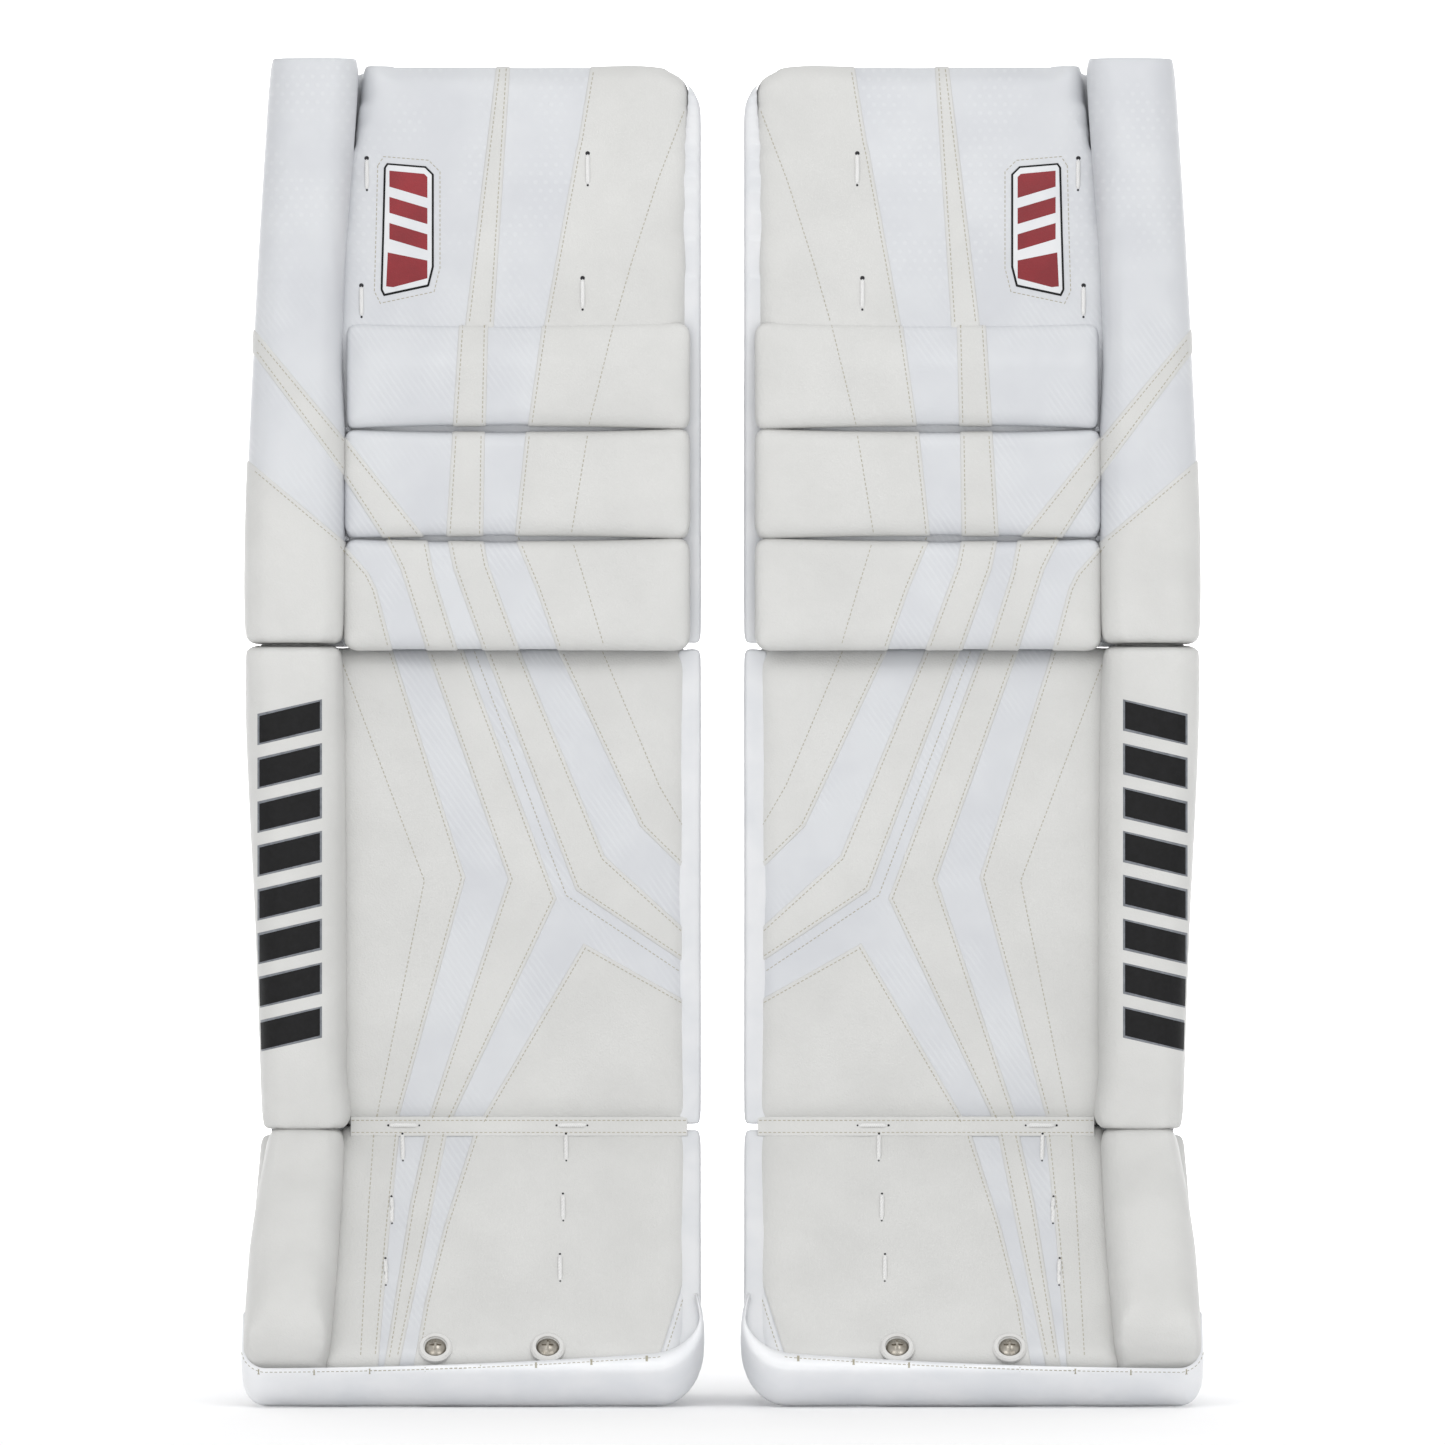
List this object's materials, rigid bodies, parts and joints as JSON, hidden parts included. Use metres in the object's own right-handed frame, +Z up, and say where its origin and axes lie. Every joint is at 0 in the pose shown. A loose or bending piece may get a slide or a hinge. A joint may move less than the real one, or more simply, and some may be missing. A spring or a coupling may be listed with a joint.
{
  "type": "goalie leg pads",
  "caption": "Ice hockey goalie leg pads: flexing foam slabs in stitched leather with outer rolls, knee rolls, leg wings, straps and a laced toe.",
  "frame": {"origin": "on the floor, midway between the two pads and midway between their foremost and rearmost points", "axes": "+Z up, -Y the way the pads' fronts face, +X towards the wearer's left pad"},
  "size_m": [0.5848, 0.2894, 0.8232],
  "materials": {
    "white_leather": "smooth coated",
    "beige_leather": "fine pebble grain",
    "leg_side_nylon": "woven nylon",
    "foam": "closed-cell foam",
    "webbing": "woven webbing",
    "lace": "waxed cord",
    "chromed_steel": "polished",
    "white_plastic": "moulded",
    "black_plastic": "moulded"
  },
  "bodies": {
    "right_boot": {"right_boot_cover": "beige_leather", "right_boot_core": "foam", "right_outer_roll_lower": "beige_leather", "right_inner_edge_lower": "white_leather", "right_boot_side_flaps": "white_leather", "right_toe_binding": "white_leather", "right_toe_screws": "chromed_steel", "right_toe_washers": "white_plastic", "right_toe_bridge": "black_plastic", "right_boot_lacing": "lace"},
    "right_shin": {"right_shin_cover": "beige_leather", "right_shin_core": "foam", "right_outer_roll_middle": "beige_leather", "right_inner_edge_middle": "white_leather", "right_leg_channel_pad": "leg_side_nylon"},
    "right_thigh": {"right_thigh_cover": "white_leather", "right_thigh_core": "foam", "right_knee_roll_upper": "beige_leather", "right_knee_roll_middle": "beige_leather", "right_knee_roll_lower": "beige_leather", "right_outer_roll_upper": "white_leather", "right_inner_edge_upper": "white_leather", "right_knee_block": "leg_side_nylon", "right_thigh_lacing": "lace"},
    "right_knee_wing": {"right_knee_wing": "white_leather"},
    "right_knee_strap": {"right_knee_strap": "webbing"},
    "right_calf_wing": {"right_calf_wing": "white_leather"},
    "right_calf_straps": {"right_calf_straps": "webbing"},
    "right_calf_wrap": {"right_calf_wrap": "white_leather"},
    "right_boot_strap": {"right_boot_strap": "webbing"},
    "left_boot": {"left_boot_cover": "beige_leather", "left_boot_core": "foam", "left_outer_roll_lower": "beige_leather", "left_inner_edge_lower": "white_leather", "left_boot_side_flaps": "white_leather", "left_toe_binding": "white_leather", "left_toe_screws": "chromed_steel", "left_toe_washers": "white_plastic", "left_toe_bridge": "black_plastic", "left_boot_lacing": "lace"},
    "left_shin": {"left_shin_cover": "beige_leather", "left_shin_core": "foam", "left_outer_roll_middle": "beige_leather", "left_inner_edge_middle": "white_leather", "left_leg_channel_pad": "leg_side_nylon"},
    "left_thigh": {"left_thigh_cover": "white_leather", "left_thigh_core": "foam", "left_knee_roll_upper": "beige_leather", "left_knee_roll_middle": "beige_leather", "left_knee_roll_lower": "beige_leather", "left_outer_roll_upper": "white_leather", "left_inner_edge_upper": "white_leather", "left_knee_block": "leg_side_nylon", "left_thigh_lacing": "lace"},
    "left_knee_wing": {"left_knee_wing": "white_leather"},
    "left_knee_strap": {"left_knee_strap": "webbing"},
    "left_calf_wing": {"left_calf_wing": "white_leather"},
    "left_calf_straps": {"left_calf_straps": "webbing"},
    "left_calf_wrap": {"left_calf_wrap": "white_leather"},
    "left_boot_strap": {"left_boot_strap": "webbing"}
  },
  "joints": [
    {"name": "left_pad_slide", "type": "slide", "parent": "right_boot", "child": "left_boot", "axis": [1, 0, 0], "range_m": [0, 0.3]},
    {"name": "right_boot_flex", "type": "hinge", "parent": "right_boot", "child": "right_shin", "pos_m": [-0.1527, -0.02633, 0.166], "axis": [1, 0, 0], "range_deg": [-6, 8]},
    {"name": "right_thigh_flex", "type": "hinge", "parent": "right_shin", "child": "right_thigh", "pos_m": [-0.1527, -0.02633, 0.463], "axis": [1, 0, 0], "range_deg": [-8, 5]},
    {"name": "right_knee_wing_fold", "type": "hinge", "parent": "right_thigh", "child": "right_knee_wing", "pos_m": [-0.2127, 0.02607, 0.567], "axis": [0, 0, 1], "range_deg": [0, 80]},
    {"name": "right_knee_strap_swing", "type": "hinge", "parent": "right_knee_wing", "child": "right_knee_strap", "pos_m": [-0.19407, 0.12613, 0.567], "axis": [0, 0, 1], "range_deg": [0, 100]},
    {"name": "right_calf_wing_fold", "type": "hinge", "parent": "right_shin", "child": "right_calf_wing", "pos_m": [-0.2127, 0.02607, 0.312], "axis": [0, 0, 1], "range_deg": [0, 80]},
    {"name": "right_calf_strap_swing", "type": "hinge", "parent": "right_calf_wing", "child": "right_calf_straps", "pos_m": [-0.19407, 0.12613, 0.312], "axis": [0, 0, 1], "range_deg": [0, 100]},
    {"name": "right_calf_wrap_fold", "type": "hinge", "parent": "right_shin", "child": "right_calf_wrap", "pos_m": [-0.0807, 0.02607, 0.312], "axis": [0, 0, -1], "range_deg": [0, 55]},
    {"name": "right_boot_strap_swing", "type": "hinge", "parent": "right_boot", "child": "right_boot_strap", "pos_m": [-0.2657, 0.07517, 0.077], "axis": [0, 0, 1], "range_deg": [0, 100]},
    {"name": "left_boot_flex", "type": "hinge", "parent": "left_boot", "child": "left_shin", "pos_m": [0.1527, -0.02633, 0.166], "axis": [1, 0, 0], "range_deg": [-6, 8]},
    {"name": "left_thigh_flex", "type": "hinge", "parent": "left_shin", "child": "left_thigh", "pos_m": [0.1527, -0.02633, 0.463], "axis": [1, 0, 0], "range_deg": [-8, 5]},
    {"name": "left_knee_wing_fold", "type": "hinge", "parent": "left_thigh", "child": "left_knee_wing", "pos_m": [0.2127, 0.02607, 0.567], "axis": [0, 0, -1], "range_deg": [0, 80]},
    {"name": "left_knee_strap_swing", "type": "hinge", "parent": "left_knee_wing", "child": "left_knee_strap", "pos_m": [0.19407, 0.12613, 0.567], "axis": [0, 0, -1], "range_deg": [0, 100]},
    {"name": "left_calf_wing_fold", "type": "hinge", "parent": "left_shin", "child": "left_calf_wing", "pos_m": [0.2127, 0.02607, 0.312], "axis": [0, 0, -1], "range_deg": [0, 80]},
    {"name": "left_calf_strap_swing", "type": "hinge", "parent": "left_calf_wing", "child": "left_calf_straps", "pos_m": [0.19407, 0.12613, 0.312], "axis": [0, 0, -1], "range_deg": [0, 100]},
    {"name": "left_calf_wrap_fold", "type": "hinge", "parent": "left_shin", "child": "left_calf_wrap", "pos_m": [0.0807, 0.02607, 0.312], "axis": [0, 0, 1], "range_deg": [0, 55]},
    {"name": "left_boot_strap_swing", "type": "hinge", "parent": "left_boot", "child": "left_boot_strap", "pos_m": [0.2657, 0.07517, 0.077], "axis": [0, 0, -1], "range_deg": [0, 100]}
  ]
}
